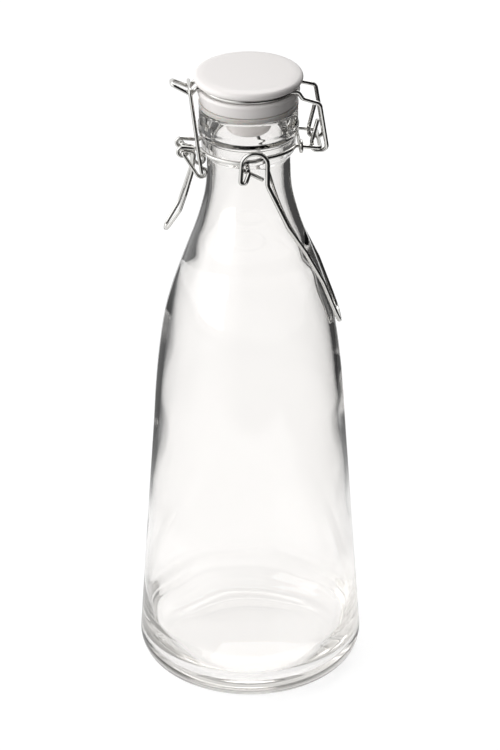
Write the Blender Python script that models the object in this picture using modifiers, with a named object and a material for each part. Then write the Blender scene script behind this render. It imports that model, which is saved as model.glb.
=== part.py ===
"""A one-litre swing-top milk bottle with a wire carrying handle, modelled piece by piece.

Metres, +Z up. The bottle stands on the ground plane with its axis on the Z axis.
+X is the hinge side, -X is the latch side and -Y is the front.
"""

import math

import bmesh
import bpy
from mathutils import Vector

# Running clearance between pieces that touch, and the overrun of round shapes
GAP = 0.0003
LATHE_STEPS = 48
ARC_STEP = math.radians(24)
RING_STEP = math.radians(9)
WIRE_SIDES = 2
HEEL_STEPS = 5
LIP_STEPS = 3
DISC_STEPS = 5

# Glass: standing ring, body, shoulder and neck
BASE_RADIUS = 0.0500
BASE_HEIGHT = 0.0110
FOOT_RADIUS = 0.0405
FOOT_WIDTH = 0.0060
PUNT_HEIGHT = 0.0015
FLOOR_HEIGHT = 0.0075
WALL = 0.0030
SHOULDER_RADIUS = 0.0431
SHOULDER_HEIGHT = 0.1110
NECK_RADIUS = 0.0179
NECK_DROP = 0.0092
SEAT_HEIGHT = 0.2547

# Glass: the seat of the neck wires, the bead above it and the mouth
SEAT_DEPTH = 0.0010
SEAT_WIDTH = 0.0050
BEAD_RISE = 0.0050
BEAD_LENGTH = 0.0038
BEAD_PROUD = 0.0004
FINISH_RADIUS = 0.0212
FINISH_LENGTH = 0.0168
LIP_ROUND = 0.0013
RIM_WIDTH = 0.0034
PUNT_SHARE = 1.5

# Stopper: disc, wire groove, flange and plug, and the ring below the flange
DISC_OVERHANG = 0.0021
DISC_THICKNESS = 0.0042
DISC_DOME = 0.0006
DISC_EDGE_TURN = math.radians(60)
FLANGE_OVERHANG = 0.0008
FLANGE_LENGTH = 0.0066
GROOVE_CORE_RADIUS = 0.0190
PLUG_LENGTH = 0.0115
PLUG_CLEARANCE = 0.0026
GASKET_THICKNESS = 0.0017
GASKET_LIP = 0.0002
GASKET_CHAMFER_SHARE = 0.25
FLANGE_CHAMFER_SHARE = 0.17

# Wire diameters
NECK_WIRE = 0.0018
LATCH_WIRE = 0.0016
HANDLE_WIRE = 0.0020

# Hinge loop on the neck wire, its tie, and the hook at its front end
HINGE_REACH = 0.0084
HINGE_DROP = 0.0015
HINGE_HALF_WIDTH = 0.0093
WIRE_BEND = 0.0016
TIE_STAND_OFF = 0.0002
TIE_TURN = math.radians(225)
HOOK_SLACK = 0.0002
HOOK_RUN = 0.0028
HOOK_TAIL = 0.0089
HOOK_TAIL_ANGLE = math.radians(-29)
HOOK_LEAVE_ANGLE = math.radians(-71)

# Pin for the carrying handle, bent out of the latch wire's front end
PIN_OFFSET = 0.0024
PIN_END = 0.0012

# Latch side: the lever's pivot eye and the lever
PIVOT_REACH = 0.0071
PIVOT_RISE = 0.0010
PIVOT_HALF_WIDTH = 0.00475
BAIL_EYE_IN = 0.0078
BAIL_EYE_DOWN = 0.0092
BAIL_EYE_SLACK = 0.0002
LEVER_STEP_IN = 0.0052
LEVER_STEP_DOWN = 0.0014
LEVER_LENGTH = 0.0366
LEVER_SPREAD = 0.0015
LEVER_OUT = 0.0128
LEVER_END_SHARE = 0.90
LEVER_BEND = 0.0064
LEVER_EYE_TURN = math.radians(258)

# Lid wire: ring in the groove, tongue, legs and eyes
TONGUE_LENGTH = 0.0093
TONGUE_HALF_WIDTH = 0.0040
TONGUE_DIP = 0.0027
TONGUE_VALLEY_OUT = 0.0004
TONGUE_LIFT = 0.0014
TONGUE_TIP_SHARE = 0.62
LEG_HALF_WIDTH = 0.0112
LEG_CORNER_DROP = 0.0064
LEG_CORNER_SPREAD = 0.0029
LEG_STEP = 0.0022
EYE_WIDTH = 0.0066
EYE_RETURN = 0.0147
EYE_BEND = 0.0022
EYE_NECK_BEND = 0.0016

# Bail over the tongue
BAIL_BEND = 0.0020
BAIL_KNEE_SHARE = 0.33

# Carrying handle
CROOK_RADIUS = 0.0053
CROOK_RISE = 0.0068
CROOK_DROP = 0.0126
PRONG_FOLD_RISE = 0.0016
HANDLE_DROP = 0.0892
HANDLE_END_HALF_WIDTH = 0.0092
HANDLE_STAND_OFF = 0.0008
HANDLE_BEND = 0.0060
HANDLE_TIP_SHARE = 0.72

# Each row is a share of the fall in radius and of the rise from shoulder to neck
SHOULDER_SHARES = (
    (1.000, 0.000),
    (0.940, 0.178),
    (0.873, 0.312),
    (0.770, 0.446),
    (0.627, 0.550),
    (0.452, 0.647),
    (0.353, 0.699),
    (0.171, 0.796),
    (0.036, 0.900),
    (0.000, 1.000),
)

# Each row is a share of the plug's length and of its radius
PLUG_SHARES = (
    (0.16, 1.00),
    (0.35, 0.97),
    (0.58, 0.81),
    (0.76, 0.71),
    (0.96, 0.63),
    (1.00, 0.57),
)

# Each row is a share of the lever's length, of how far it has bent out, and of its spread
LEVER_SHARES = (
    (0.26, 0.10, 0.45),
    (0.53, 0.33, 1.00),
    (0.73, 0.52, 1.00),
)

# Each row is a share of the leg's run below the crook and of its inward taper
HANDLE_SHARES = (
    (0.28, 0.05),
    (0.50, 0.66),
    (0.70, 0.83),
    (0.92, 1.00),
)

neck_r = NECK_WIRE / 2
latch_r = LATCH_WIRE / 2
handle_r = HANDLE_WIRE / 2

seat_radius = FINISH_RADIUS - SEAT_DEPTH
bead_radius = FINISH_RADIUS + BEAD_PROUD
neck_height = SEAT_HEIGHT - NECK_DROP
bead_height = SEAT_HEIGHT + BEAD_RISE
rim_height = SEAT_HEIGHT + FINISH_LENGTH
mouth_radius = FINISH_RADIUS - RIM_WIDTH

flange_bottom = rim_height + GAP + GASKET_THICKNESS + GAP
flange_top = flange_bottom + FLANGE_LENGTH
groove_top = flange_top + NECK_WIRE + 2 * GAP
lid_top = groove_top + DISC_THICKNESS
disc_radius = FINISH_RADIUS + DISC_OVERHANG
flange_radius = FINISH_RADIUS + FLANGE_OVERHANG
plug_radius = mouth_radius - PLUG_CLEARANCE

ring_radius = seat_radius + GAP + neck_r
hinge_plane = SEAT_HEIGHT + neck_r + GAP / 2
latch_plane = SEAT_HEIGHT - neck_r - GAP / 2

hinge_axis = Vector((ring_radius + HINGE_REACH, 0, hinge_plane - HINGE_DROP))
pivot_eye_radius = neck_r + GAP + latch_r
lever_pivot = Vector((-ring_radius - PIVOT_REACH, 0, latch_plane + PIVOT_RISE - pivot_eye_radius))
bail_pivot = lever_pivot + Vector((BAIL_EYE_IN, 0, -BAIL_EYE_DOWN))
handle_pivot = Vector((-PIN_OFFSET, 0, latch_plane))

lever_outer = PIVOT_HALF_WIDTH + neck_r + GAP + latch_r
lever_inner = PIVOT_HALF_WIDTH - neck_r - GAP - latch_r
bail_half_width = lever_outer + 2 * latch_r + 2 * GAP
hook_depth = ring_radius + NECK_WIRE + 2 * GAP
handle_half_width = hook_depth + neck_r + GAP + handle_r


def outer_outline():
    """Outer side of the glass, as (radius, height) from the rim down to the foot."""
    outline = []
    lip = (FINISH_RADIUS - LIP_ROUND, rim_height - LIP_ROUND)
    outline += arc_outline(lip, LIP_ROUND, math.radians(90), 0, LIP_STEPS)
    half = BEAD_LENGTH / 2
    bead = (bead_radius - half / 2, bead_height + half)
    outline.append((FINISH_RADIUS, bead_height + BEAD_LENGTH + BEAD_PROUD))
    outline.append((bead_radius, bead[1] + half / 2))
    outline.append((bead_radius, bead[1] - half / 2))
    outline.append((bead[0], bead_height))
    outline.append((seat_radius, SEAT_HEIGHT + SEAT_WIDTH / 2))
    outline.append((seat_radius, SEAT_HEIGHT - SEAT_WIDTH / 2))
    fall, rise = SHOULDER_RADIUS - NECK_RADIUS, neck_height - SHOULDER_HEIGHT
    for fall_share, rise_share in reversed(SHOULDER_SHARES):
        outline.append((NECK_RADIUS + fall * fall_share, SHOULDER_HEIGHT + rise * rise_share))
    outline.append((BASE_RADIUS, BASE_HEIGHT))
    heel = (FOOT_RADIUS, BASE_HEIGHT)
    for step in range(1, HEEL_STEPS + 1):
        turn = math.radians(90) * step / HEEL_STEPS
        across = (BASE_RADIUS - FOOT_RADIUS) * math.cos(turn)
        outline.append((heel[0] + across, heel[1] - BASE_HEIGHT * math.sin(turn)))
    return outline


def arc_outline(centre, radius, start, end, steps):
    """Points of an arc in an outline, centre and ends included, as (radius, height)."""
    points = []
    for step in range(steps + 1):
        turn = start + (end - start) * step / steps
        points.append((centre[0] + radius * math.cos(turn), centre[1] + radius * math.sin(turn)))
    return points


def glass_radius(height):
    """Radius of the glass's outer side at a height."""
    outline = outer_outline()
    for (upper_radius, upper), (lower_radius, lower) in zip(outline, outline[1:]):
        if lower <= height <= upper and upper > lower:
            share = (height - lower) / (upper - lower)
            return lower_radius + (upper_radius - lower_radius) * share
    return BASE_RADIUS


def finish(name, colour, roughness, metallic=0.0, transmission=0.0):
    """A Principled material."""
    material = bpy.data.materials.new(name)
    material.use_nodes = True
    shader = material.node_tree.nodes["Principled BSDF"]
    shader.inputs["Base Color"].default_value = (*colour, 1)
    shader.inputs["Roughness"].default_value = roughness
    shader.inputs["Metallic"].default_value = metallic
    shader.inputs["Transmission Weight"].default_value = transmission
    return material


def steel(name):
    """Bright plated steel for one wire."""
    return finish(name + "_steel", (0.78, 0.78, 0.77), 0.14, metallic=1.0)


def add_pivot(name, place, parent=None):
    """An empty on a joint's axis."""
    pivot = bpy.data.objects.new(name, None)
    pivot.location = place - parent.location if parent else place
    pivot.parent = parent
    bottle.objects.link(pivot)
    bpy.context.view_layer.update()
    return pivot


def add_piece(name, data, material, pivot=None):
    """Puts a piece in the collection, on its pivot if it has one."""
    piece = bpy.data.objects.new(name, data)
    piece.parent = pivot
    data.materials.append(material)
    bottle.objects.link(piece)
    return piece


def turned(name, outline, material, pivot=None):
    """A piece turned about the Z axis. The outline starts and ends on the axis, or is a closed ring."""
    origin = pivot.matrix_world.translation if pivot else Vector()
    mesh = bpy.data.meshes.new(name)
    shape = bmesh.new()
    corners = [shape.verts.new((radius, 0, height - origin.z)) for radius, height in outline]
    for first, second in zip(corners, corners[1:]):
        shape.edges.new((first, second))
    if outline[0][0] > 0:
        shape.edges.new((corners[-1], corners[0]))
    shape.to_mesh(mesh)
    shape.free()
    piece = add_piece(name, mesh, material, pivot)
    piece.location.x = -origin.x
    lathe = piece.modifiers.new("lathe", "SCREW")
    lathe.steps = LATHE_STEPS
    lathe.render_steps = LATHE_STEPS
    lathe.use_merge_vertices = True
    lathe.merge_threshold = GAP / 10
    lathe.use_smooth_shade = True
    return piece


def bent(stations):
    """The centre line of a bent wire. Each station is a corner and the radius of its bend."""
    line = []
    for number, (corner, radius) in enumerate(stations):
        if radius == 0:
            line.append(corner)
            continue
        back, on = stations[number - 1][0] - corner, stations[number + 1][0] - corner
        half = back.angle(on) / 2
        reach = min(radius / math.tan(half), back.length / 2, on.length / 2)
        radius = reach * math.tan(half)
        back, on = back.normalized(), on.normalized()
        centre = corner + (back + on).normalized() * (radius / math.sin(half))
        start, end = corner + back * reach - centre, corner + on * reach - centre
        turn = start.angle(end)
        steps = max(1, math.ceil(turn / ARC_STEP))
        for step in range(steps + 1):
            before = math.sin(turn * (1 - step / steps)) / math.sin(turn)
            after = math.sin(turn * step / steps) / math.sin(turn)
            line.append(centre + start * before + end * after)
    return line


def ring(radius, height, start, end):
    """Stations along a level arc about the Z axis."""
    steps = max(1, round(abs(end - start) / RING_STEP))
    stations = []
    for step in range(steps + 1):
        turn = start + (end - start) * step / steps
        stations.append((Vector((radius * math.cos(turn), radius * math.sin(turn), height)), 0))
    return stations


def curl(centre, radius, start, end):
    """Stations along an arc in the plane y = centre.y. The turn is measured from +X towards +Z."""
    steps = max(1, math.ceil(abs(end - start) / ARC_STEP))
    stations = []
    for step in range(steps + 1):
        turn = start + (end - start) * step / steps
        stations.append((centre + Vector((radius * math.cos(turn), 0, radius * math.sin(turn))), 0))
    return stations


def mirrored(stations):
    """The front half of a wire and its mirror image, as one run."""
    return stations + [(Vector((p.x, -p.y, p.z)), bend) for p, bend in reversed(stations)]


def wire(name, stations, radius, pivot=None):
    """A round wire with square-cut ends."""
    origin = pivot.matrix_world.translation if pivot else Vector()
    line = bent(stations)
    path = bpy.data.curves.new(name, "CURVE")
    path.dimensions = "3D"
    path.bevel_depth = radius
    path.bevel_resolution = WIRE_SIDES
    path.use_fill_caps = True
    spline = path.splines.new("POLY")
    spline.points.add(len(line) - 1)
    for point, place in zip(spline.points, line):
        point.co = (*(place - origin), 1)
    spline.use_smooth = True
    return add_piece(name, path, steel(name), pivot)


def at(x, y, z, bend=0):
    """A station of a wire's front half: y is how far in front of the middle plane it lies."""
    return Vector((x, -y, z)), bend


def add_glass():
    """One piece of glass: the inner side from the floor up to the rim, and the outer side down."""
    outer = outer_outline()
    inner = [(0, FLOOR_HEIGHT), (FOOT_RADIUS - WALL, FLOOR_HEIGHT)]
    inner_base = BASE_RADIUS - WALL
    inner.append((inner_base - WALL / 2, FLOOR_HEIGHT + WALL / 2))
    inner.append((inner_base, FLOOR_HEIGHT + 2 * WALL))
    fall, rise = SHOULDER_RADIUS - NECK_RADIUS, neck_height - SHOULDER_HEIGHT
    for fall_share, rise_share in SHOULDER_SHARES:
        radius = NECK_RADIUS + fall * fall_share - WALL
        inner.append((radius, SHOULDER_HEIGHT + rise * rise_share))
    inner.append((NECK_RADIUS - WALL, SEAT_HEIGHT))
    lip = (mouth_radius + LIP_ROUND, rim_height - LIP_ROUND)
    inner += arc_outline(lip, LIP_ROUND, math.radians(180), math.radians(90), LIP_STEPS)
    foot = [(FOOT_RADIUS - FOOT_WIDTH, 0), (FOOT_RADIUS - PUNT_SHARE * FOOT_WIDTH, PUNT_HEIGHT)]
    foot.append((0, PUNT_HEIGHT))
    clear = finish("clear_glass", (0.93, 0.95, 0.94), 0.03, transmission=1.0)
    turned("glass_bottle", inner + outer + foot, clear)


def add_stopper(pivot):
    """The porcelain lid, turned in one piece."""
    edge = DISC_THICKNESS / 2
    disc = [(0, lid_top), (disc_radius - 2 * edge, lid_top - DISC_DOME / 2)]
    round_centre = (disc_radius - edge, lid_top - edge)
    disc += arc_outline(round_centre, edge, DISC_EDGE_TURN, -DISC_EDGE_TURN, DISC_STEPS)
    disc.append((round_centre[0] - edge, groove_top))
    groove = [(GROOVE_CORE_RADIUS, groove_top), (GROOVE_CORE_RADIUS, flange_top)]
    chamfer = FLANGE_LENGTH * FLANGE_CHAMFER_SHARE
    flange = [(flange_radius - chamfer, flange_top), (flange_radius, flange_top - chamfer)]
    flange.append((flange_radius - chamfer / 2, flange_bottom + chamfer / 2))
    flange.append((flange_radius - chamfer, flange_bottom))
    plug_bottom = rim_height - PLUG_LENGTH
    plug = [(plug_radius, flange_bottom)]
    for share, radius_share in PLUG_SHARES:
        height = flange_bottom + (plug_bottom - flange_bottom) * share
        plug.append((plug_radius * radius_share, height))
    plug.append((0, plug_bottom))
    porcelain = finish("glazed_porcelain", (0.86, 0.85, 0.82), 0.16)
    turned("lid_stopper", disc + groove + flange + plug, porcelain, pivot)


def add_gasket(pivot):
    """The rubber ring, a closed outline that runs down its outer side."""
    inner, outer = plug_radius + GAP, FINISH_RADIUS - GASKET_LIP
    bottom, top = rim_height + GAP, rim_height + GAP + GASKET_THICKNESS
    soft = GASKET_THICKNESS * GASKET_CHAMFER_SHARE
    outline = [(inner, top), (outer - soft, top), (outer, top - soft), (outer, bottom + soft)]
    outline += [(outer - soft, bottom), (inner, bottom)]
    rubber = finish("grey_rubber", (0.62, 0.62, 0.60), 0.55)
    turned("lid_gasket", outline, rubber, pivot)


def add_hinge_neck_wire():
    """From the front hook along the neck to the hinge loop, and the same behind."""
    hook_radius = 2 * neck_r + GAP + HOOK_SLACK
    centre = Vector((-PIN_OFFSET, -hook_depth, hinge_plane - hook_radius))
    hook_foot = HOOK_TAIL_ANGLE + math.radians(270)
    hook = curl(centre, hook_radius, hook_foot, math.radians(90))
    heading = Vector((math.cos(HOOK_TAIL_ANGLE), 0, math.sin(HOOK_TAIL_ANGLE)))
    tail = [(hook[0][0] + heading * HOOK_TAIL, 0)]
    lead = [at(HOOK_RUN - PIN_OFFSET, hook_depth, hinge_plane, HOOK_RUN)]
    arm_angle = -math.asin(HINGE_HALF_WIDTH / ring_radius)
    around = ring(ring_radius, hinge_plane, HOOK_LEAVE_ANGLE, arm_angle)
    around[-1] = (around[-1][0], WIRE_BEND)
    bar = [at(hinge_axis.x, HINGE_HALF_WIDTH, hinge_axis.z, WIRE_BEND)]
    wire("neck_wire_hinge", mirrored(tail + hook + lead + around + bar), neck_r)


def add_latch_neck_wire(name, side):
    """From the lever's pivot eye along the neck, through the hook, and out as the handle's pin."""
    eye = Vector((lever_pivot.x, -PIVOT_HALF_WIDTH, lever_pivot.z))
    stations = curl(eye, pivot_eye_radius, math.radians(340), math.radians(90))
    arm_angle = math.radians(-180) + math.asin(PIVOT_HALF_WIDTH / ring_radius)
    pin_angle = math.radians(-90) - math.asin(PIN_OFFSET / ring_radius)
    around = ring(ring_radius, latch_plane, arm_angle, pin_angle)
    around[0] = (around[0][0], WIRE_BEND)
    around[-1] = (around[-1][0], neck_r)
    pin_length = handle_half_width + handle_r + PIN_END
    pin = [at(-PIN_OFFSET, pin_length, latch_plane)]
    stations += around + pin
    wire(name, [(Vector((p.x, p.y * side, p.z)), bend) for p, bend in stations], neck_r)


def add_tie():
    """A short wire under the two arms of the hinge loop, its ends curled over them."""
    along = ring_radius + TIE_STAND_OFF
    inner = math.sqrt(ring_radius**2 - HINGE_HALF_WIDTH**2)
    fallen = (along - inner) / (hinge_axis.x - inner)
    arm = hinge_plane - HINGE_DROP * fallen
    turn_radius = neck_r + GAP + latch_r + GAP
    stations = []
    steps = math.ceil(TIE_TURN / ARC_STEP)
    for step in range(steps + 1):
        turn = math.radians(90) - TIE_TURN * (1 - step / steps)
        across, down = turn_radius * math.cos(turn), turn_radius * math.sin(turn)
        stations.append(at(along, HINGE_HALF_WIDTH + across, arm - down))
    wire("hinge_tie_wire", mirrored(stations), latch_r)


def add_lid_wire(pivot):
    """Eyes on the hinge bar, legs, the ring round the groove, and the tongue."""
    plane = flange_top + GAP + neck_r
    groove_ring = GROOVE_CORE_RADIUS + GAP + neck_r
    eye_plane = HINGE_HALF_WIDTH - NECK_WIRE - 2 * GAP + GAP / 2
    eye_floor = hinge_axis.z - NECK_WIRE - GAP
    eye_left, eye_right = hinge_axis.x - EYE_WIDTH / 2, hinge_axis.x + EYE_WIDTH / 2
    corner_out = eye_plane + LEG_CORNER_SPREAD
    corner_height = plane - LEG_CORNER_DROP
    clear_flange = math.sqrt((flange_radius + neck_r) ** 2 - LEG_HALF_WIDTH**2)
    leave = -math.asin(LEG_HALF_WIDTH / groove_ring)
    stations = [
        at(hinge_axis.x - neck_r, eye_plane + neck_r / 2, eye_floor + EYE_RETURN),
        at(eye_left, eye_plane, hinge_axis.z + NECK_WIRE + neck_r, EYE_NECK_BEND),
        at(eye_left, eye_plane, eye_floor, EYE_BEND),
        at(eye_right, eye_plane, eye_floor, EYE_BEND),
        at(hinge_axis.x - GAP, corner_out, corner_height, EYE_BEND),
        at(clear_flange + LEG_STEP, LEG_HALF_WIDTH - LEG_STEP, corner_height + LEG_STEP, WIRE_BEND),
        at(clear_flange, LEG_HALF_WIDTH, plane, WIRE_BEND),
    ]
    half_width = TONGUE_HALF_WIDTH
    reach = math.radians(-180) + math.asin(half_width / groove_ring)
    around = ring(groove_ring, plane, leave, reach)
    around[0] = (around[0][0], WIRE_BEND)
    around[-1] = (around[-1][0], WIRE_BEND)
    valley = disc_radius + GAP + latch_r + TONGUE_VALLEY_OUT
    tongue = [
        at(-flange_radius - GAP, half_width, plane, WIRE_BEND / 2),
        at(-valley, half_width, plane - TONGUE_DIP, WIRE_BEND / 2),
        at(-disc_radius - TONGUE_LENGTH, half_width * TONGUE_TIP_SHARE, plane + TONGUE_LIFT, WIRE_BEND),
    ]
    wire("lid_wire", mirrored(stations + around + tongue), neck_r, pivot)


def add_bail(pivot):
    """A crossbar over the tongue's valley, two legs, and ends turned into the lever's eyes."""
    plane = flange_top + GAP + neck_r
    crossbar = plane - TONGUE_DIP + neck_r + latch_r + 3 * GAP
    end = lever_outer - latch_r - 2 * GAP
    top_x = -disc_radius - GAP - latch_r - 2 * TONGUE_VALLEY_OUT
    top_half_width = TONGUE_HALF_WIDTH + neck_r + latch_r + 2 * GAP
    knee_x = bail_pivot.x + (top_x - bail_pivot.x) * BAIL_KNEE_SHARE
    knee_z = bail_pivot.z + (crossbar - bail_pivot.z) * BAIL_KNEE_SHARE
    stations = [
        at(bail_pivot.x, end, bail_pivot.z),
        at(bail_pivot.x, bail_half_width, bail_pivot.z, BAIL_BEND / 2),
        at(knee_x, bail_half_width, knee_z, HANDLE_BEND),
        at(top_x, top_half_width, crossbar, BAIL_BEND),
    ]
    wire("latch_bail", mirrored(stations), latch_r, pivot)


def add_lever(pivot):
    """Eyes for the bail, diagonals to the pivot run, a step in, and the finger loop."""
    eye_radius = 2 * latch_r + GAP + BAIL_EYE_SLACK
    eye = Vector((bail_pivot.x, -lever_outer, bail_pivot.z))
    away = lever_pivot - bail_pivot
    towards = math.atan2(away.z, away.x)
    tangent = towards + math.acos(eye_radius / away.length)
    stations = curl(eye, eye_radius, tangent + LEVER_EYE_TURN, tangent)
    stations.append(at(lever_pivot.x, lever_outer, lever_pivot.z, latch_r))
    stations.append(at(lever_pivot.x, lever_inner, lever_pivot.z, latch_r))
    step_x, step_z = lever_pivot.x + LEVER_STEP_IN, lever_pivot.z - LEVER_STEP_DOWN
    stations.append(at(step_x, lever_inner, step_z, WIRE_BEND))
    for length_share, out_share, spread_share in LEVER_SHARES:
        out, spread = LEVER_OUT * out_share, LEVER_SPREAD * spread_share
        down = LEVER_LENGTH * length_share
        stations.append(at(step_x - out, lever_inner + spread, step_z - down, LEVER_BEND))
    last = lever_inner * LEVER_END_SHARE
    stations.append(at(step_x - LEVER_OUT, last, step_z - LEVER_LENGTH, lever_inner))
    wire("latch_lever", mirrored(stations), latch_r, pivot)


def add_carry_handle(pivot):
    """Folded prong, crook over the pin, leg, and the rounded end that lies on the shoulder."""
    prong = handle_pivot.x - neck_r - GAP - handle_r
    leg = prong + 2 * CROOK_RADIUS
    return_prong = prong + HANDLE_WIRE + GAP
    bend_height = handle_pivot.z + CROOK_RISE - CROOK_DROP - CROOK_RADIUS / 2
    fold_height = bend_height + PRONG_FOLD_RISE
    tip_height = bend_height - HANDLE_DROP + CROOK_DROP
    lean = (glass_radius(tip_height) - glass_radius(tip_height + CROOK_DROP)) / CROOK_DROP
    tip = glass_radius(tip_height) + (handle_r + GAP) * math.sqrt(1 + lean**2) + GAP
    fold = (return_prong - prong) / 2
    half = handle_half_width
    stations = [
        at(return_prong + GAP, half, handle_pivot.z - neck_r - 2 * GAP),
        at(return_prong, half, fold_height, fold),
        at(prong, half, fold_height, fold),
        at(prong, half, handle_pivot.z + CROOK_RISE, CROOK_RADIUS),
        at(leg, half, handle_pivot.z + CROOK_RISE, CROOK_RADIUS),
        at(leg, half, bend_height, CROOK_RADIUS),
    ]
    taper = half - HANDLE_END_HALF_WIDTH
    for run_share, taper_share in HANDLE_SHARES:
        z = bend_height + (tip_height - bend_height) * run_share
        across = half - taper * taper_share
        clear_glass = glass_radius(z) + handle_r + HANDLE_STAND_OFF
        beside_glass = math.sqrt(max(clear_glass**2 - across**2, 0))
        x = max(leg + (tip - leg) * run_share, beside_glass)
        stations.append(at(x, across, z, HANDLE_BEND))
    stations.append(at(tip, HANDLE_END_HALF_WIDTH * HANDLE_TIP_SHARE, tip_height, HANDLE_BEND))
    wire("carry_handle", mirrored(stations), handle_r, pivot)


for old in list(bpy.data.objects):
    bpy.data.objects.remove(old)
bottle = bpy.data.collections.new("milk_bottle")
bpy.context.scene.collection.children.link(bottle)

lid_hinge = add_pivot("lid_hinge_axis", hinge_axis)
lever_axis = add_pivot("lever_pivot_axis", lever_pivot)
bail_axis = add_pivot("bail_pivot_axis", bail_pivot, lever_axis)
handle_axis = add_pivot("handle_swing_axis", handle_pivot)

add_glass()
add_hinge_neck_wire()
add_latch_neck_wire("neck_wire_latch_front", 1)
add_latch_neck_wire("neck_wire_latch_back", -1)
add_tie()
add_lid_wire(lid_hinge)
add_stopper(lid_hinge)
add_gasket(lid_hinge)
add_lever(lever_axis)
add_bail(bail_axis)
add_carry_handle(handle_axis)
bpy.context.view_layer.update()
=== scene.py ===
import math

import bmesh
import bpy
from mathutils import Matrix, Vector, noise


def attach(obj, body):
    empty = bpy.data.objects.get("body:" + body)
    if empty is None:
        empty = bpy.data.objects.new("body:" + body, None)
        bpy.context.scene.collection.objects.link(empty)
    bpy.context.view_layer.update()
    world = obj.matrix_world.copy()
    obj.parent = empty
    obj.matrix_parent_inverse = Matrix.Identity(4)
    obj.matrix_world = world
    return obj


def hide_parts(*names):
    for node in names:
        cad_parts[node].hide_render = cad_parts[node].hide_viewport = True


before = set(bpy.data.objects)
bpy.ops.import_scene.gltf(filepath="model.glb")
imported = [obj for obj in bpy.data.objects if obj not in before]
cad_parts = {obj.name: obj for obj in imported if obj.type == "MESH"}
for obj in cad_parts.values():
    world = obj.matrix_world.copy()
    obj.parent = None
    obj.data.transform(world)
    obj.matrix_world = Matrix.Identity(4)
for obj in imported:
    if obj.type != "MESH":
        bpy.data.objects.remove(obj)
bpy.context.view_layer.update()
print("frame loaded")

mm = 0.001
quarter = math.radians(90)


def linear(hexCode):
    # sRGB hex to the linear colour that Blender's sockets hold
    channels = [int(hexCode[i:i + 2], 16) / 255 for i in (0, 2, 4)]
    return [c / 12.92 if c <= 0.04045 else ((c + 0.055) / 1.055) ** 2.4 for c in channels] + [1]


def addNode(tree, kind, values=()):
    # a value is a setting of the node, a value of its input, or an output to link to that input
    node = tree.nodes.new(kind)
    for name, value in dict(values).items():
        if isinstance(value, bpy.types.NodeSocket):
            tree.links.new(value, node.inputs[name])
        elif isinstance(name, int) or name in node.inputs:
            node.inputs[name].default_value = value
        else:
            setattr(node, name, value)
    return node


def newMaterial(name, settings):
    material = bpy.data.materials.new(name)
    material.use_nodes = True
    tree = material.node_tree
    shader = tree.nodes["Principled BSDF"]
    for socket, value in settings.items():
        shader.inputs[socket].default_value = value
    return material, tree, shader


def bumpySkin(tree, shader, size, detail, depth, strength):
    # low bumps of a real size and depth all over the piece
    coords = addNode(tree, "ShaderNodeTexCoord")
    pattern = addNode(tree, "ShaderNodeTexNoise", {
        "Scale": 1 / size, "Detail": detail, "Vector": coords.outputs["Object"]})
    bump = addNode(tree, "ShaderNodeBump", {
        "Strength": strength, "Distance": depth, "Height": pattern.outputs["Fac"]})
    tree.links.new(bump.outputs["Normal"], shader.inputs["Normal"])
    return pattern.outputs["Fac"]


glassFinish = {
    "colour": "FEFDFC", "ior": 1.52,
    "wave": {"size": 30 * mm, "detail": 1.0, "depth": 0.06 * mm, "strength": 1.0},
    "depthColour": "E9E8E6", "density": 18.0,
}


def makeGlass():
    # soda-lime glass, blown in a mould: clear, nearly colourless, its skin faintly wavy
    material, tree, shader = newMaterial("soda_lime_glass", {
        "Base Color": linear(glassFinish["colour"]),
        "Roughness": 0.0,
        "IOR": glassFinish["ior"],
        "Transmission Weight": 1.0,
    })
    bumpySkin(tree, shader, **glassFinish["wave"])
    # a thick base looks greyer than a thin wall
    depth = addNode(tree, "ShaderNodeVolumeAbsorption", {
        "Color": linear(glassFinish["depthColour"]), "Density": glassFinish["density"]})
    tree.links.new(depth.outputs[0], tree.nodes["Material Output"].inputs["Volume"])
    return material


porcelainFinish = {
    "colour": "EFEBE9",
    "peel": {"size": 5 * mm, "detail": 2.0, "depth": 0.05 * mm, "strength": 0.3},
}


def makePorcelain():
    # glazed porcelain: warm white body under a clear glaze with a faint orange-peel
    material, tree, shader = newMaterial("glazed_porcelain", {
        "Base Color": linear(porcelainFinish["colour"]),
        "Roughness": 0.35,
        "IOR": 1.5,
        "Coat Weight": 0.15,
        "Coat Roughness": 0.15,
    })
    bumpySkin(tree, shader, **porcelainFinish["peel"])
    return material


rubberFinish = {
    "dark": "BFBCB8", "light": "CBC8C4", "patternFrom": 0.3, "patternTo": 0.7,
    "mottle": {"size": 1.5 * mm, "detail": 3.0, "depth": 0.05 * mm, "strength": 0.5},
}


def makeRubber():
    # moulded natural rubber, pale grey, mottled and a little translucent
    r = rubberFinish
    material, tree, shader = newMaterial("pale_rubber", {
        "Roughness": 0.45,
        "IOR": 1.5,
        "Subsurface Weight": 0.2,
        "Subsurface Scale": 1 * mm,
    })
    mottle = bumpySkin(tree, shader, **r["mottle"])
    share = addNode(tree, "ShaderNodeMapRange", {
        "From Min": r["patternFrom"], "From Max": r["patternTo"], "Value": mottle})
    tone = addNode(tree, "ShaderNodeMix", {
        "data_type": "RGBA", 0: share.outputs["Result"], 6: linear(r["dark"]), 7: linear(r["light"])})
    tree.links.new(tone.outputs[2], shader.inputs["Base Color"])
    return material


steelFinish = {
    "colour": "D2D1CE", "drawLength": 9 * mm, "patternFrom": 0.3, "patternTo": 0.7,
    "bright": 0.04, "dull": 0.14,
}


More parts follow.
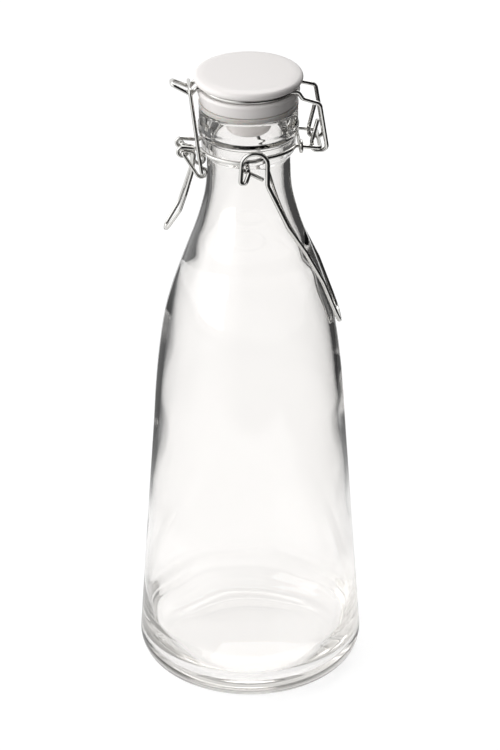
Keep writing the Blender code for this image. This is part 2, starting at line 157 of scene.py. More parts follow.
def makeSteel():
    # drawn steel wire with a bright nickel plate: mirror-like, softened in streaks left by the die
    s = steelFinish
    material, tree, shader = newMaterial("nickel_plated_steel", {
        "Base Color": linear(s["colour"]),
        "Metallic": 1.0,
    })
    coords = addNode(tree, "ShaderNodeTexCoord")
    streak = addNode(tree, "ShaderNodeTexNoise", {
        "Scale": 1 / s["drawLength"], "Detail": 3.0, "Vector": coords.outputs["Object"]})
    roughness = addNode(tree, "ShaderNodeMapRange", {
        "From Min": s["patternFrom"], "From Max": s["patternTo"],
        "To Min": s["bright"], "To Max": s["dull"], "Value": streak.outputs["Fac"]})
    tree.links.new(roughness.outputs["Result"], shader.inputs["Roughness"])
    return material


clearGlass = makeGlass()
porcelain = makePorcelain()
paleRubber = makeRubber()
platedSteel = makeSteel()
print("materials made")


def softLine(points, perSpan):
    # a smooth line through the points, ends included
    line = []
    for i in range(len(points) - 1):
        before = points[max(i - 1, 0)]
        start, end = points[i], points[i + 1]
        after = points[min(i + 2, len(points) - 1)]
        for step in range(perSpan):
            t = step / perSpan
            line.append(0.5 * ((2 * start) + (end - before) * t
                               + (2 * before - 5 * start + 4 * end - after) * t * t
                               + (3 * start - before - 3 * end + after) * t ** 3))
    return line + [points[-1]]


def bentLine(stations, stepAngle):
    # each station is a corner and its bend radius; the line gets a true arc there
    line = []
    for number, (corner, radius) in enumerate(stations):
        if radius == 0:
            line.append(corner)
            continue
        back, on = stations[number - 1][0] - corner, stations[number + 1][0] - corner
        half = back.angle(on) / 2
        reach = min(radius / math.tan(half), back.length / 2, on.length / 2)
        radius = reach * math.tan(half)
        back.normalize()
        on.normalize()
        centre = corner + (back + on).normalized() * (radius / math.sin(half))
        start, end = corner + back * reach - centre, corner + on * reach - centre
        turn = start.angle(end)
        steps = max(2, math.ceil(turn / stepAngle))
        for step in range(steps + 1):
            before = math.sin(turn * (1 - step / steps)) / math.sin(turn)
            after = math.sin(turn * step / steps) / math.sin(turn)
            line.append(centre + start * before + end * after)
    return line


turning = {"bendStep": math.radians(12), "weld": 1e-6, "sliver": 1e-7}


def profile(rows):
    # rows of (radius, height, bend) in millimetres to a lathe outline in metres
    return bentLine([(Vector((r, 0, z)) * mm, bend * mm) for r, z, bend in rows], turning["bendStep"])


def finishMesh(name, shape):
    mesh = bpy.data.meshes.new(name)
    shape.to_mesh(mesh)
    shape.free()
    piece = bpy.data.objects.new(name, mesh)
    bpy.context.scene.collection.objects.link(piece)
    return piece


def lathe(name, outline, steps, closed=False):
    shape = bmesh.new()
    corners = [shape.verts.new(p) for p in outline]
    edges = [shape.edges.new(pair) for pair in zip(corners, corners[1:])]
    if closed:
        edges.append(shape.edges.new((corners[-1], corners[0])))
    bmesh.ops.spin(shape, geom=corners + edges, cent=(0, 0, 0), axis=(0, 0, 1),
                   angle=2 * math.pi, steps=steps, use_merge=True)
    bmesh.ops.remove_doubles(shape, verts=shape.verts, dist=turning["weld"])
    bmesh.ops.dissolve_degenerate(shape, edges=shape.edges, dist=turning["sliver"])
    bmesh.ops.recalc_face_normals(shape, faces=shape.faces)
    for face in shape.faces:
        face.smooth = True
    return finishMesh(name, shape)


def place(piece, material, body, node):
    piece.data.materials.append(material)
    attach(piece, body)
    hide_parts(node)


# millimetres: radii, heights, and the bend radius of each corner of the outline
bottle = {
    "steps": 192, "spanSteps": 8, "heelSteps": 14,
    "rim": 271.5, "mouth": 17.8, "lipRound": 1.3,
    "finish": 21.2, "finishRise": 1.0, "finishRound": 1.2,
    "bead": 21.6, "beadHeight": 259.7, "beadLength": 3.8, "beadRise": 0.4, "beadDrop": 1.2, "beadRound": 1.5,
    "ledgeDrop": 2.3, "ledgeRise": 1.3, "ledgeRound": 1.0,
    "seat": 20.2, "seatHeight": 254.7, "seatWidth": 5.0, "seatRound": 2.0, "seatDrop": 5.5,
    "neck": 17.9, "neckHeight": 245.5, "neckRound": 2.5, "neckLead": 4.0, "neckTail": 2.0, "wall": 3.0,
    "shoulder": 43.1, "shoulderHeight": 111.0,
    "fallShares": (1.0, 0.94, 0.873, 0.77, 0.627, 0.452, 0.353, 0.171, 0.036, 0.0),
    "riseShares": (0.0, 0.178, 0.312, 0.446, 0.55, 0.647, 0.699, 0.796, 0.9, 1.0),
    "base": 50.0, "baseHeight": 11.0, "foot": 40.5, "footWidth": 6.0, "footRound": 2.0, "punt": 1.5,
    "floor": 7.5, "floorDome": 0.8, "floorIn": 1.0, "floorRound": 2.5,
    "cornerIn": 2.4, "cornerRise": 5.0, "cornerRound": 9.0,
    "sideRise": 17.0, "sideRound": 24.0, "sideLead": 26.0, "sideStart": 35.0,
    # how uneven the blown inside is, and between which heights
    "unevenness": 0.9, "unevenSize": 34.0, "unevenLow": 12.0, "unevenHigh": 240.0,
    "fadeLow": 20.0, "fadeHigh": 30.0,
    # the thicker ring inside the shoulder, where the glass settled
    "settleHeight": 200.0, "settleDepth": 0.85, "settleWidth": 6.0,
}


def shoulderLine(inset):
    # the side, from above the heel to the neck; inside it starts above the thick corner
    b = bottle
    fall, rise = b["shoulder"] - b["neck"], b["neckHeight"] - b["shoulderHeight"]
    rows = [Vector((b["base"] - inset, 0, b["sideStart"] if inset else b["baseHeight"]))]
    rows += [Vector((b["neck"] + fall * f - inset, 0, b["shoulderHeight"] + rise * r))
             for f, r in zip(b["fallShares"], b["riseShares"])]
    return [p * mm for p in softLine(rows, b["spanSteps"])]


outerLine = shoulderLine(0)


def glassRadius(height):
    # the outside of the glass at a height, in millimetres
    for below, above in zip(outerLine, outerLine[1:]):
        if below.z <= height * mm <= above.z and above.z > below.z:
            return (below.x + (above.x - below.x) * (height * mm - below.z) / (above.z - below.z)) / mm
    return bottle["neck"]


def makeBottle():
    b = bottle
    side, neck = b["base"] - b["wall"], b["neck"] - b["wall"]
    bead, beadTop = b["beadHeight"], b["beadHeight"] + b["beadLength"]
    # the last row only sets the way the bend before it leaves
    floor = profile([
        (0, b["floor"] + b["floorDome"], 0),
        (b["foot"] - b["floorIn"], b["floor"], b["floorRound"]),
        (side - b["cornerIn"], b["floor"] + b["cornerRise"], b["cornerRound"]),
        (side, b["floor"] + b["sideRise"], b["sideRound"]),
        (side, b["floor"] + b["sideLead"], 0),
    ])[:-1]
    mouth = profile([
        (neck, b["neckHeight"] + b["neckLead"], 0),
        (neck, bead - b["ledgeDrop"], b["ledgeRound"]),
        (b["mouth"], bead + b["ledgeRise"], b["ledgeRound"]),
        (b["mouth"], b["rim"], b["lipRound"]),
        (b["finish"], b["rim"], b["lipRound"]),
        (b["finish"], beadTop + b["finishRise"], b["finishRound"]),
        (b["bead"], beadTop, b["beadRound"]),
        (b["bead"], bead + b["beadRise"], b["beadRound"]),
        (b["seat"], bead - b["beadDrop"], b["beadRound"]),
        (b["seat"], b["seatHeight"] - b["seatWidth"] / 2, b["seatRound"]),
        (b["neck"], b["seatHeight"] - b["seatDrop"], b["neckRound"]),
        (b["neck"], b["neckHeight"] + b["neckTail"], 0),
    ])
    heel = [Vector((b["foot"] + (b["base"] - b["foot"]) * math.cos(a), 0,
                    b["baseHeight"] - b["baseHeight"] * math.sin(a))) * mm
            for a in (quarter * i / b["heelSteps"] for i in range(1, b["heelSteps"] + 1))]
    foot = profile([
        (b["foot"], 0, 0),
        (b["foot"] - b["footWidth"] / 2, 0, b["footRound"]),
        (0, b["punt"], 0),
    ])[1:]
    outline = floor + shoulderLine(b["wall"]) + mouth + outerLine[::-1] + heel + foot
    piece = lathe("blown_bottle", outline, b["steps"])
    # the mould shapes the outside; the blown inside is a little uneven
    for v in piece.data.vertices:
        r, z = math.hypot(v.co.x, v.co.y) / mm, v.co.z / mm
        if b["unevenLow"] < z < b["unevenHigh"] and r < glassRadius(z) - b["wall"] / 2:
            fade = min(1, (z - b["unevenLow"]) / b["fadeLow"], (b["unevenHigh"] - z) / b["fadeHigh"])
            push = noise.noise(v.co / (b["unevenSize"] * mm)) * b["unevenness"] * fade
            push -= b["settleDepth"] * math.exp(-((z - b["settleHeight"]) / b["settleWidth"]) ** 2)
            v.co.x += v.co.x / r * push
            v.co.y += v.co.y / r * push
    return piece


place(makeBottle(), clearGlass, "bottle", "glass_bottle")
print("bottle made")

stopper = {
    "steps": 144,
    "top": 287.0, "dome": 0.5, "domeShare": 0.86, "domeRound": 12.0,
    "disc": 23.3, "discRound": 2.2, "discLift": 0.2, "underIn": 3.4, "underRound": 0.6,
    "grooveTop": 282.8, "core": 19.0, "coreRound": 0.4,
    "flangeTop": 280.4, "flange": 22.0, "flangeBottom": 273.8,
    "flangeIn": 0.6, "flangeDrop": 1.2, "flangeTaper": 1.4, "flangeRound": 0.8,
    "plug": 15.2, "plugBottom": 260.0, "plugRound": 3.0, "plugRootRound": 0.3,
    # depth and radius of the plug, as shares of its length and of its widest radius
    "plugShares": ((0.16, 1.0), (0.35, 0.97), (0.58, 0.81), (0.76, 0.71), (0.96, 0.63)),
    "plugEndShare": 0.57, "plugEndRound": 0.6,
}


def makeStopper():
    s = stopper
    length = s["flangeBottom"] - s["plugBottom"]
    rows = [
        (0, s["top"], 0),
        (s["disc"] * s["domeShare"], s["top"] - s["dome"] / 3, s["domeRound"]),
        (s["disc"], s["top"] - s["dome"] * 2, s["discRound"]),
        (s["disc"], s["grooveTop"] + s["discLift"], s["discRound"]),
        (s["disc"] - s["underIn"], s["grooveTop"], s["underRound"]),
        (s["core"], s["grooveTop"], s["coreRound"]),
        (s["core"], s["flangeTop"], s["coreRound"]),
        (s["flange"] - s["flangeIn"], s["flangeTop"], s["flangeRound"]),
        (s["flange"], s["flangeTop"] - s["flangeDrop"], s["flangeRound"]),
        (s["flange"] - s["flangeTaper"], s["flangeBottom"], s["flangeRound"]),
        (s["plug"], s["flangeBottom"], s["plugRootRound"]),
    ]
    rows += [(s["plug"] * radius, s["flangeBottom"] - length * depth, s["plugRound"])
             for depth, radius in s["plugShares"]]
    rows += [(s["plug"] * s["plugEndShare"], s["plugBottom"], s["plugEndRound"]), (0, s["plugBottom"], 0)]
    return lathe("turned_stopper", profile(rows), s["steps"])


sealRing = {
    "steps": 144, "inner": 15.5, "outer": 21.3, "bottom": 271.65, "top": 273.75, "round": 0.6,
    "joinStep": 0.1,
}


def makeSealRing():
    g = sealRing
    start = (g["inner"] + g["outer"]) / 2
    outline = profile([
        (start, g["top"], 0),
        (g["outer"], g["top"], g["round"]),
        (g["outer"], g["bottom"], g["round"]),
        (g["inner"], g["bottom"], g["round"]),
        (g["inner"], g["top"], g["round"]),
        (start - g["joinStep"], g["top"], 0),
    ])
    return lathe("rubber_ring", outline, g["steps"], closed=True)


place(makeStopper(), porcelain, "lid", "lid_stopper")
place(makeSealRing(), paleRubber, "lid", "lid_gasket")
print("stopper made")

# wire radii in millimetres; a cut end is file-rounded over a short length, to a share of the radius
wires = {
    "neck": 0.9, "latch": 0.8, "handle": 1.0, "sides": 5,
    "bendStep": math.radians(9), "ringStep": math.radians(3),
    "endLength": 0.15, "endShare": 0.82,
}
neckRing = 21.4
gap = 0.3


def at(x, y, z, bend=0):
    # a station of a wire's front half: y is how far in front of the middle plane it lies
    return Vector((x, -y, z)), bend


def arcStations(centre, radius, start, end):
    # an arc in the plane y = centre.y, its angle from +X towards +Z
    steps = max(2, math.ceil(abs(end - start) / wires["bendStep"]))
    return [(centre + Vector((radius * math.cos(a), 0, radius * math.sin(a))), 0)
            for a in (start + (end - start) * i / steps for i in range(steps + 1))]


def ringStations(radius, height, start, end, startBend, endBend):
    # an arc round the neck's axis, whose first and last stations are corners
    steps = max(2, round(abs(end - start) / wires["ringStep"]))
    bends = [startBend] + [0] * (steps - 1) + [endBend]
    angles = [start + (end - start) * i / steps for i in range(steps + 1)]
    return [(Vector((radius * math.cos(a), radius * math.sin(a), height)), bend)
            for a, bend in zip(angles, bends)]


def mirrored(stations):
    return stations + [(Vector((p.x, -p.y, p.z)), bend) for p, bend in reversed(stations)]


def wire(name, stations, radius, body, node):
    line = bentLine([(p * mm, bend * mm) for p, bend in stations], wires["bendStep"])
    first, last = line[0], line[-1]
    line.insert(1, first + (line[1] - first).normalized() * wires["endLength"] * mm)
    line.insert(-1, last + (line[-2] - last).normalized() * wires["endLength"] * mm)
    path = bpy.data.curves.new(name, "CURVE")
    path.dimensions = "3D"
    path.bevel_depth = radius * mm
    path.bevel_resolution = wires["sides"]
    path.use_fill_caps = True
    spline = path.splines.new("POLY")
    spline.points.add(len(line) - 1)
    for point, co in zip(spline.points, line):
        point.co = (*co, 1)
    spline.points[0].radius = spline.points[-1].radius = wires["endShare"]
    spline.use_smooth = True
    piece = bpy.data.objects.new(name, path)
    bpy.context.scene.collection.objects.link(piece)
    place(piece, platedSteel, body, node)


hingeWire = {
    "plane": 255.75, "halfWidth": 9.3, "bar": (29.8, 254.25), "bend": 1.6,
    "hookDepth": 23.8, "hookX": -2.4, "hookRadius": 2.3, "hookRun": 2.8,
    "tail": 8.9, "tailAngle": math.radians(-29), "leaveAngle": math.radians(-71),
}


def makeHingeWire():
    h = hingeWire
    centre = Vector((h["hookX"], -h["hookDepth"], h["plane"] - h["hookRadius"]))
    hook = arcStations(centre, h["hookRadius"], h["tailAngle"] + 3 * quarter, quarter)
    heading = Vector((math.cos(h["tailAngle"]), 0, math.sin(h["tailAngle"])))
    tail = [(hook[0][0] + heading * h["tail"], 0)]
    lead = [at(h["hookRun"] + h["hookX"], h["hookDepth"], h["plane"], h["hookRun"])]
    around = ringStations(neckRing, h["plane"], h["leaveAngle"], -math.asin(h["halfWidth"] / neckRing),
                          0, h["bend"])
    bar = [at(h["bar"][0], h["halfWidth"], h["bar"][1], h["bend"])]
    stations = mirrored(tail + hook + lead + around + bar)
    wire("hinge_loop_wire", stations, wires["neck"], "bottle", "neck_wire_hinge")


latchWire = {
    "plane": 253.65, "halfWidth": 4.75, "bend": 1.6,
    "eye": (-28.5, 252.65), "eyeRadius": 2.0, "eyeStart": math.radians(340),
    "pinX": -2.4, "pinEnd": 28.2,
}


def makeLatchWire(name, side, node):
    l = latchWire
    eye = Vector((l["eye"][0], -l["halfWidth"], l["eye"][1]))
    stations = arcStations(eye, l["eyeRadius"], l["eyeStart"], quarter)
    stations += ringStations(neckRing, l["plane"], math.asin(l["halfWidth"] / neckRing) - 2 * quarter,
                             -quarter - math.asin(-l["pinX"] / neckRing), l["bend"], wires["neck"])
    stations.append(at(l["pinX"], l["pinEnd"], l["plane"]))
    stations = [(Vector((p.x, p.y * side, p.z)), bend) for p, bend in stations]
    wire(name, stations, wires["neck"], "bottle", node)


tieWire = {"x": 21.6, "turn": math.radians(225), "turnRadius": 2.3, "steps": 24}


def makeTieWire():
    t, h = tieWire, hingeWire
    inner = math.sqrt(neckRing ** 2 - h["halfWidth"] ** 2)
    arm = h["plane"] - (h["plane"] - h["bar"][1]) * (t["x"] - inner) / (h["bar"][0] - inner)
    stations = []
    for step in range(t["steps"] + 1):
        turn = quarter - t["turn"] * (1 - step / t["steps"])
        out = h["halfWidth"] + t["turnRadius"] * math.cos(turn)
        stations.append(at(t["x"], out, arm - t["turnRadius"] * math.sin(turn)))
    wire("hinge_tie", mirrored(stations), wires["latch"], "bottle", "hinge_tie_wire")


lidWire = {
    "plane": 281.6, "ring": 20.2, "bend": 1.6,
    "legHalfWidth": 11.2, "legStep": 2.2, "cornerOut": 9.95, "cornerHeight": 275.2,
    "eyePlane": 7.05, "eyeFloor": 252.15, "eyeLeft": 26.5, "eyeRight": 33.1, "eyeReturn": 14.7,
    "eyeKink": 2.7, "eyeBend": 2.2,
    "tongueHalf": 4.0, "tongueLength": 9.3, "tongueTip": 0.62, "dip": 2.7, "lift": 1.4, "valley": 24.8,
}


def makeLidWire():
    w = lidWire
    barX, barZ = hingeWire["bar"]
    wireR = wires["neck"]
    clearFlange = math.sqrt((stopper["flange"] + wireR) ** 2 - w["legHalfWidth"] ** 2)
    stations = [
        at(barX - wireR, w["eyePlane"] + wireR / 2, w["eyeFloor"] + w["eyeReturn"]),
        at(w["eyeLeft"], w["eyePlane"], barZ + w["eyeKink"], w["bend"]),
        at(w["eyeLeft"], w["eyePlane"], w["eyeFloor"], w["eyeBend"]),
        at(w["eyeRight"], w["eyePlane"], w["eyeFloor"], w["eyeBend"]),
        at(barX - gap, w["cornerOut"], w["cornerHeight"], w["eyeBend"]),
        at(clearFlange + w["legStep"], w["legHalfWidth"] - w["legStep"], w["cornerHeight"] + w["legStep"],
           w["bend"]),
        at(clearFlange, w["legHalfWidth"], w["plane"], w["bend"]),
    ]
    stations += ringStations(w["ring"], w["plane"], -math.asin(w["legHalfWidth"] / w["ring"]),
                             math.asin(w["tongueHalf"] / w["ring"]) - 2 * quarter, w["bend"], w["bend"])
    stations += [
        at(-stopper["flange"] - gap, w["tongueHalf"], w["plane"], w["bend"] / 2),
        at(-w["valley"], w["tongueHalf"], w["plane"] - w["dip"], w["bend"] / 2),
        at(-stopper["disc"] - w["tongueLength"], w["tongueHalf"] * w["tongueTip"], w["plane"] + w["lift"],
           w["bend"]),
    ]
    wire("lid_clip_wire", mirrored(stations), wireR, "lid_wire", "lid_wire")


bail = {
    "eye": (-20.7, 243.45), "halfWidth": 8.95, "end": 5.35, "knee": 0.33, "kneeBend": 6.0,
    "top": (-25.2, 281.5), "topHalf": 6.3, "bend": 2.0,
}


def makeBail():
    b = bail
    kneeX = b["eye"][0] + (b["top"][0] - b["eye"][0]) * b["knee"]
    kneeZ = b["eye"][1] + (b["top"][1] - b["eye"][1]) * b["knee"]
    stations = [
        at(b["eye"][0], b["end"], b["eye"][1]),
        at(b["eye"][0], b["halfWidth"], b["eye"][1], b["bend"] / 2),
        at(kneeX, b["halfWidth"], kneeZ, b["kneeBend"]),
        at(b["top"][0], b["topHalf"], b["top"][1], b["bend"]),
    ]
    wire("latch_yoke", mirrored(stations), wires["latch"], "bail", "latch_bail")


lever = {
    "eyeRadius": 2.1, "eyeTurn": math.radians(258), "outer": 6.75, "inner": 2.75,
    "stepIn": 5.2, "stepDown": 1.4, "stepBend": 1.6,
    "length": 36.6, "out": 12.8, "spread": 1.5, "endShare": 0.9, "bend": 6.4,
    # down, out and spread along the loop, as shares of those three sizes
    "shares": ((0.26, 0.10, 0.45), (0.53, 0.33, 1.0), (0.73, 0.52, 1.0)),
}


def makeLever():
    l = lever
    pivot = Vector((latchWire["eye"][0], 0, latchWire["eye"][1]))
    eye = Vector((bail["eye"][0], 0, bail["eye"][1]))
    away = pivot - eye
    tangent = math.atan2(away.z, away.x) + math.acos(l["eyeRadius"] / away.length)
    centre = Vector((eye.x, -l["outer"], eye.z))
    stations = arcStations(centre, l["eyeRadius"], tangent + l["eyeTurn"], tangent)
    stations.append(at(pivot.x, l["outer"], pivot.z, wires["latch"]))
    stations.append(at(pivot.x, l["inner"], pivot.z, wires["latch"]))
    stepX, stepZ = pivot.x + l["stepIn"], pivot.z - l["stepDown"]
    stations.append(at(stepX, l["inner"], stepZ, l["stepBend"]))
    for down, out, spread in l["shares"]:
        stations.append(at(stepX - l["out"] * out, l["inner"] + l["spread"] * spread,
                           stepZ - l["length"] * down, l["bend"]))
    stations.append(at(stepX - l["out"], l["inner"] * l["endShare"], stepZ - l["length"], l["inner"]))
    wire("lever_loop", mirrored(stations), wires["latch"], "lever", "latch_lever")


handle = {
    "half": 26.0, "crook": 5.3, "rise": 6.8, "drop": 12.6, "foldRise": 1.6, "lean": 0.9,
    "length": 89.2, "endHalf": 9.2, "standOff": 0.8, "bend": 6.0, "tipShare": 0.72,
    # how far down each leg a corner lies, and how far in towards the narrow end
    "shares": ((0.28, 0.05), (0.50, 0.66), (0.70, 0.83), (0.92, 1.0)),
}


def makeHandle():
    h = handle
    pinX, pinZ = latchWire["pinX"], latchWire["plane"]
    wireR, pinR = wires["handle"], wires["neck"]
    prong = pinX - pinR - gap - wireR
    leg = prong + 2 * h["crook"]
    back = prong + 2 * wireR + gap / 3
    top = pinZ + h["rise"]
    bendHeight = top - h["drop"] - h["crook"] / 2
    foldHeight = bendHeight + h["foldRise"]
    tipHeight = bendHeight - h["length"] + h["drop"]
    slope = (glassRadius(tipHeight) - glassRadius(tipHeight + h["drop"])) / h["drop"]
    tip = glassRadius(tipHeight) + (wireR + gap) * math.sqrt(1 + slope ** 2) + gap
    fold = (back - prong) / 2
    stations = [
        at(back + h["lean"], h["half"], pinZ - pinR - 2 * gap),
        at(back - h["lean"], h["half"], foldHeight, fold),
        at(prong - h["lean"], h["half"], foldHeight, fold),
        at(prong, h["half"], top, h["crook"]),
        at(leg, h["half"], top, h["crook"]),
        at(leg, h["half"], bendHeight, h["crook"]),
    ]
    # the legs lie along the shoulder, clear of the glass
    for run, taper in h["shares"]:
        z = bendHeight + (tipHeight - bendHeight) * run
        across = h["half"] - (h["half"] - h["endHalf"]) * taper
        clear = glassRadius(z) + wireR + h["standOff"]
        x = max(leg + (tip - leg) * run, math.sqrt(max(clear ** 2 - across ** 2, 0)))
        stations.append(at(x, across, z, h["bend"]))
    stations.append(at(tip, h["endHalf"] * h["tipShare"], tipHeight, h["bend"]))
    wire("carrying_handle", mirrored(stations), wireR, "handle", "carry_handle")


makeHingeWire()
makeLatchWire("latch_neck_wire_front", 1, "neck_wire_latch_front")
makeLatchWire("latch_neck_wire_back", -1, "neck_wire_latch_back")
makeTieWire()
makeLidWire()
makeBail()
makeLever()
makeHandle()
print("wires bent")

# metres, watts and strengths
studio = {
    "floorWidth": 8.0, "floorDrop": 0.2 * mm, "bounces": 28,
    # the second colour is the paper under the painted dark patches, which only gloss and glass show
    "paper": "8C8C8C", "paintedDarkTint": "050505", "glow": 0.84,
    "key": {"place": (-1.40, -0.70, 0.75), "size": 1.5, "watts": 19,
            "glow": 1.6, "glowInner": 0.985, "glowOuter": 0.60},
    "top": {"place": (0.4, 0.9, 1.8), "size": 1.4, "watts": 13.5},
    "aim": (0.0, 0.0, 0.15),
    # the light that matt surfaces get: white from the left to nearly black on the right
    "white": "FFFFFF", "black": "0A0A0A", "whiteX": -1.0, "blackX": 0.55,
    "room": 1.1, "roomThroughGlass": 3.2,
    # dark things out of the picture, which plate shows beside its highlights and glass shows in
    # its edges: painted reflections, dark patches on the floor that only gloss and glass show
    # (metres), and walls of the room (directions). Each has how dark it is in a gloss, after a
    # bounce inside glass and straight through glass, and then one or more of (axis, where it
    # starts, where it is full); R is the distance from the bottle, and B how far to the side it lies in that
    "paintedFloorDarks": (
        (1.0, 0.0, 0.0, ("X", 0.18, 0.27)),
        (0.8, 0.0, 0.35, ("B", -0.29, -0.40), ("B", -0.80, -0.68), ("R", 0.80, 0.60), ("Y", 0.10, 0.20)),
        (0.8, 0.0, 0.35, ("B", 0.42, 0.54), ("B", 0.88, 0.76), ("R", 0.80, 0.60), ("Y", 0.10, 0.20)),
        (1.0, 0.0, 0.0, ("Y", -0.34, -0.42), ("B", -0.85, -0.15)),
        # painted shade: the floor round the bottle's foot, darker as a gloss shows it
        (0.35, 0.0, 0.0, ("R", 0.20, 0.04)),
        (0.0, 0.95, 0.0, ("R", 0.12, 0.24)),
    ),
    "walls": (
        (1.0, 0.5, 0.5, ("Y", -0.05, -0.30), ("Z", -0.2, 0.0)),
        (1.0, 0.3, 0.3, ("X", 0.20, 0.45), ("Y", 0.55, 0.15)),
        (0.0, 0.35, 0.35, ("Y", 0.30, 0.60), ("Z", 0.30, 0.12), ("Z", -0.30, -0.15)),
    ),
    "darkness": 0.98,
}


def lightPath(tree):
    # first 1 for what a gloss shows, for what glass shows after a bounce inside it and for what
    # shows straight through glass; then 1 for all of these and the eye; then 1 for anything seen
    # or lit through glass. Light that has met a matt surface counts only as the last
    light = addNode(tree, "ShaderNodeLightPath").outputs
    direct = addNode(tree, "ShaderNodeMath", {
        "operation": "SUBTRACT", "use_clamp": True, 0: 1.0, 1: light["Diffuse Depth"]}).outputs[0]
    glass = addNode(tree, "ShaderNodeMath", {
        "operation": "MULTIPLY", 0: direct, 1: light["Is Transmission Ray"]}).outputs[0]
    mirror = addNode(tree, "ShaderNodeMath", {
        "operation": "SUBTRACT", "use_clamp": True,
        0: light["Is Glossy Ray"], 1: light["Is Transmission Ray"]}).outputs[0]
    gloss = addNode(tree, "ShaderNodeMath", {"operation": "MULTIPLY", 0: direct, 1: mirror}).outputs[0]
    once = addNode(tree, "ShaderNodeMath", {
        "operation": "MINIMUM", 0: light["Glossy Depth"], 1: 1.0}).outputs[0]
    bounced = addNode(tree, "ShaderNodeMath", {"operation": "MULTIPLY", 0: glass, 1: once}).outputs[0]
    straight = addNode(tree, "ShaderNodeMath", {"operation": "SUBTRACT", 0: glass, 1: bounced}).outputs[0]
    shown = addNode(tree, "ShaderNodeMath", {"operation": "MAXIMUM", 0: gloss, 1: glass}).outputs[0]
    seen = addNode(tree, "ShaderNodeMath", {
        "operation": "MAXIMUM", 0: light["Is Camera Ray"], 1: shown}).outputs[0]
    return (gloss, bounced, straight), seen, light["Is Transmission Ray"]


def darkMask(tree, where, shapes, paths):
    # how dark each spot is: in a shape its sides multiply, and the darkest shape counts
    parts = addNode(tree, "ShaderNodeSeparateXYZ", {0: where}).outputs
    away = addNode(tree, "ShaderNodeVectorMath", {"operation": "LENGTH", 0: where}).outputs["Value"]
    bearing = addNode(tree, "ShaderNodeMath", {"operation": "DIVIDE", 0: parts["X"], 1: away}).outputs[0]
    sources = {"X": parts["X"], "Y": parts["Y"], "Z": parts["Z"], "R": away, "B": bearing}
    mask = 0.0
    for shape in shapes:
        levels, sides = shape[:len(paths)], shape[len(paths):]
        cover = 0.0
        for level, path in zip(levels, paths):
            cover = addNode(tree, "ShaderNodeMath", {
                "operation": "MULTIPLY_ADD", 0: path, 1: level, 2: cover}).outputs[0]
        for axis, start, full in sides:
            side = addNode(tree, "ShaderNodeMapRange", {
                "interpolation_type": "SMOOTHSTEP", "From Min": start, "From Max": full,
                "Value": sources[axis]})
            cover = addNode(tree, "ShaderNodeMath", {
                "operation": "MULTIPLY", 0: cover, 1: side.outputs["Result"]}).outputs[0]
        mask = addNode(tree, "ShaderNodeMath", {"operation": "MAXIMUM", 0: mask, 1: cover}).outputs[0]
    return mask


def shaded(tree, mask, level):
    return addNode(tree, "ShaderNodeMath", {
        "operation": "MULTIPLY_ADD", 0: mask, 1: -studio["darkness"] * level, 2: level}).outputs[0]


def makeFloor():
    shape = bmesh.new()
    bmesh.ops.create_grid(shape, x_segments=1, y_segments=1, size=studio["floorWidth"] / 2)
    bmesh.ops.translate(shape, verts=shape.verts, vec=(0, 0, -studio["floorDrop"]))
    floor = finishMesh("paper_floor", shape)
    # white paper: shown as pure white, and still with a soft shadow
    material = bpy.data.materials.new("white_paper")
    material.use_nodes = True
    tree = material.node_tree
    tree.nodes.clear()
    paths, seen, behind = lightPath(tree)
    spot = addNode(tree, "ShaderNodeTexCoord").outputs["Object"]
    # painted reflections and shade: patches of the floor that only gloss and glass show dark
    mask = darkMask(tree, spot, studio["paintedFloorDarks"], paths)
    shown = addNode(tree, "ShaderNodeMath", {"operation": "MAXIMUM", 0: seen, 1: behind}).outputs[0]
    strength = addNode(tree, "ShaderNodeMath", {
        "operation": "MULTIPLY", 0: shaded(tree, mask, studio["glow"]), 1: shown}).outputs[0]
    # the paper's own colour goes dark under the painted patches
    tint = addNode(tree, "ShaderNodeMix", {
        "data_type": "RGBA", 0: mask, 6: linear(studio["paper"]), 7: linear(studio["paintedDarkTint"])})
    paper = addNode(tree, "ShaderNodeBsdfDiffuse", {"Color": tint.outputs[2]})
    glow = addNode(tree, "ShaderNodeEmission", {"Color": linear(studio["white"]), "Strength": strength})
    both = addNode(tree, "ShaderNodeAddShader", {0: paper.outputs[0], 1: glow.outputs[0]})
    addNode(tree, "ShaderNodeOutputMaterial", {"Surface": both.outputs[0]})
    floor.data.materials.append(material)


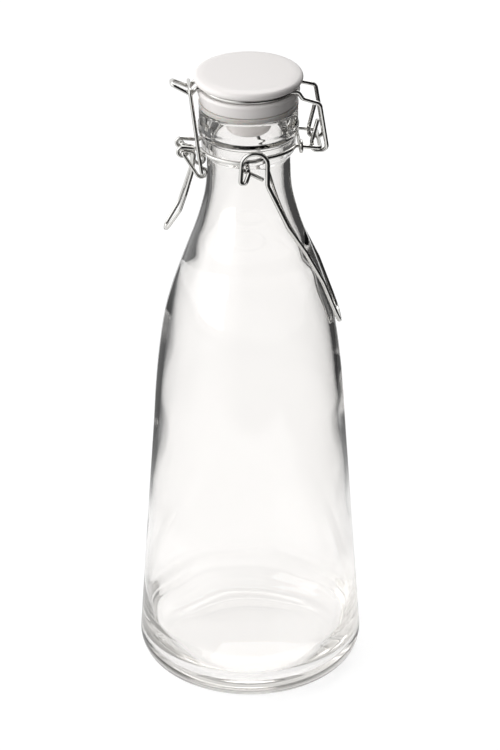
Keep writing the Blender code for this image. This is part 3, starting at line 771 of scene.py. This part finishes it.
def makeWorld():
    world = bpy.data.worlds.new("studio_world")
    bpy.context.scene.world = world
    world.use_nodes = True
    tree = world.node_tree
    tree.nodes.clear()
    paths, seen, behind = lightPath(tree)
    way = addNode(tree, "ShaderNodeTexCoord").outputs["Generated"]
    mask = darkMask(tree, way, studio["walls"], paths)
    # the key lamp as a gloss shows it: a softbox that fades out towards its edges
    key = studio["key"]
    keyWay = (Vector(key["place"]) - Vector(studio["aim"])).normalized()
    facing = addNode(tree, "ShaderNodeVectorMath", {"operation": "DOT_PRODUCT", 0: way, 1: keyWay})
    softbox = addNode(tree, "ShaderNodeMapRange", {
        "interpolation_type": "SMOOTHSTEP", "From Min": key["glowOuter"], "From Max": key["glowInner"],
        "To Max": key["glow"], "Value": facing.outputs["Value"]})
    strength = addNode(tree, "ShaderNodeMath", {
        "operation": "MULTIPLY_ADD", 0: softbox.outputs["Result"], 1: paths[0], 2: shaded(tree, mask, 1.0)})
    backdrop = addNode(tree, "ShaderNodeBackground", {
        "Color": linear(studio["white"]), "Strength": strength.outputs[0]})
    parts = addNode(tree, "ShaderNodeSeparateXYZ", {0: way})
    sideways = addNode(tree, "ShaderNodeMapRange", {
        "From Min": studio["whiteX"], "From Max": studio["blackX"], "Value": parts.outputs["X"]})
    room = addNode(tree, "ShaderNodeMix", {
        "data_type": "RGBA", 0: sideways.outputs["Result"],
        6: linear(studio["white"]), 7: linear(studio["black"])})
    # makes up for the lamps, whose light doesn't come straight through glass
    level = addNode(tree, "ShaderNodeMapRange", {
        "To Min": studio["room"], "To Max": studio["roomThroughGlass"], "Value": behind})
    fill = addNode(tree, "ShaderNodeBackground", {
        "Color": room.outputs[2], "Strength": level.outputs["Result"]})
    mix = addNode(tree, "ShaderNodeMixShader", {0: seen, 1: fill.outputs[0], 2: backdrop.outputs[0]})
    addNode(tree, "ShaderNodeOutputWorld", {"Surface": mix.outputs[0]})


def makeLamp(name, settings):
    lamp = bpy.data.lights.new(name, "AREA")
    lamp.shape, lamp.size, lamp.energy = "SQUARE", settings["size"], settings["watts"]
    stand = bpy.data.objects.new(name, lamp)
    bpy.context.scene.collection.objects.link(stand)
    stand.location = settings["place"]
    aim = Vector(studio["aim"]) - stand.location
    stand.rotation_euler = aim.to_track_quat("-Z", "Y").to_euler()
    # a lamp with a glow is drawn in the world for a gloss, so its own hard edge isn't shown there
    stand.visible_glossy = "glow" not in settings


camera = {
    "place": (-0.1123, -1.4274, 0.9280),
    "tilt": math.radians(61.183), "turn": math.radians(-4.51), "roll": -0.00325,
    "lens": 118.4, "filmHeight": 24.0,
}


def makeCamera():
    data = bpy.data.cameras.new("camera")
    data.sensor_fit = "VERTICAL"
    data.sensor_height, data.lens = camera["filmHeight"], camera["lens"]
    stand = bpy.data.objects.new("camera", data)
    bpy.context.scene.collection.objects.link(stand)
    stand.matrix_world = (Matrix.Translation(camera["place"]) @ Matrix.Rotation(camera["turn"], 4, "Z")
                          @ Matrix.Rotation(camera["tilt"], 4, "X") @ Matrix.Rotation(camera["roll"], 4, "Z"))
    bpy.context.scene.camera = stand


makeFloor()
makeWorld()
makeLamp("key_softbox", studio["key"])
makeLamp("top_softbox", studio["top"])
makeCamera()
bpy.context.scene.view_settings.view_transform = "Standard"
# light runs a long way inside a thick glass base before it gets out
for limit in ("max_bounces", "glossy_bounces", "transmission_bounces"):
    setattr(bpy.context.scene.cycles, limit, studio["bounces"])
print("studio ready")
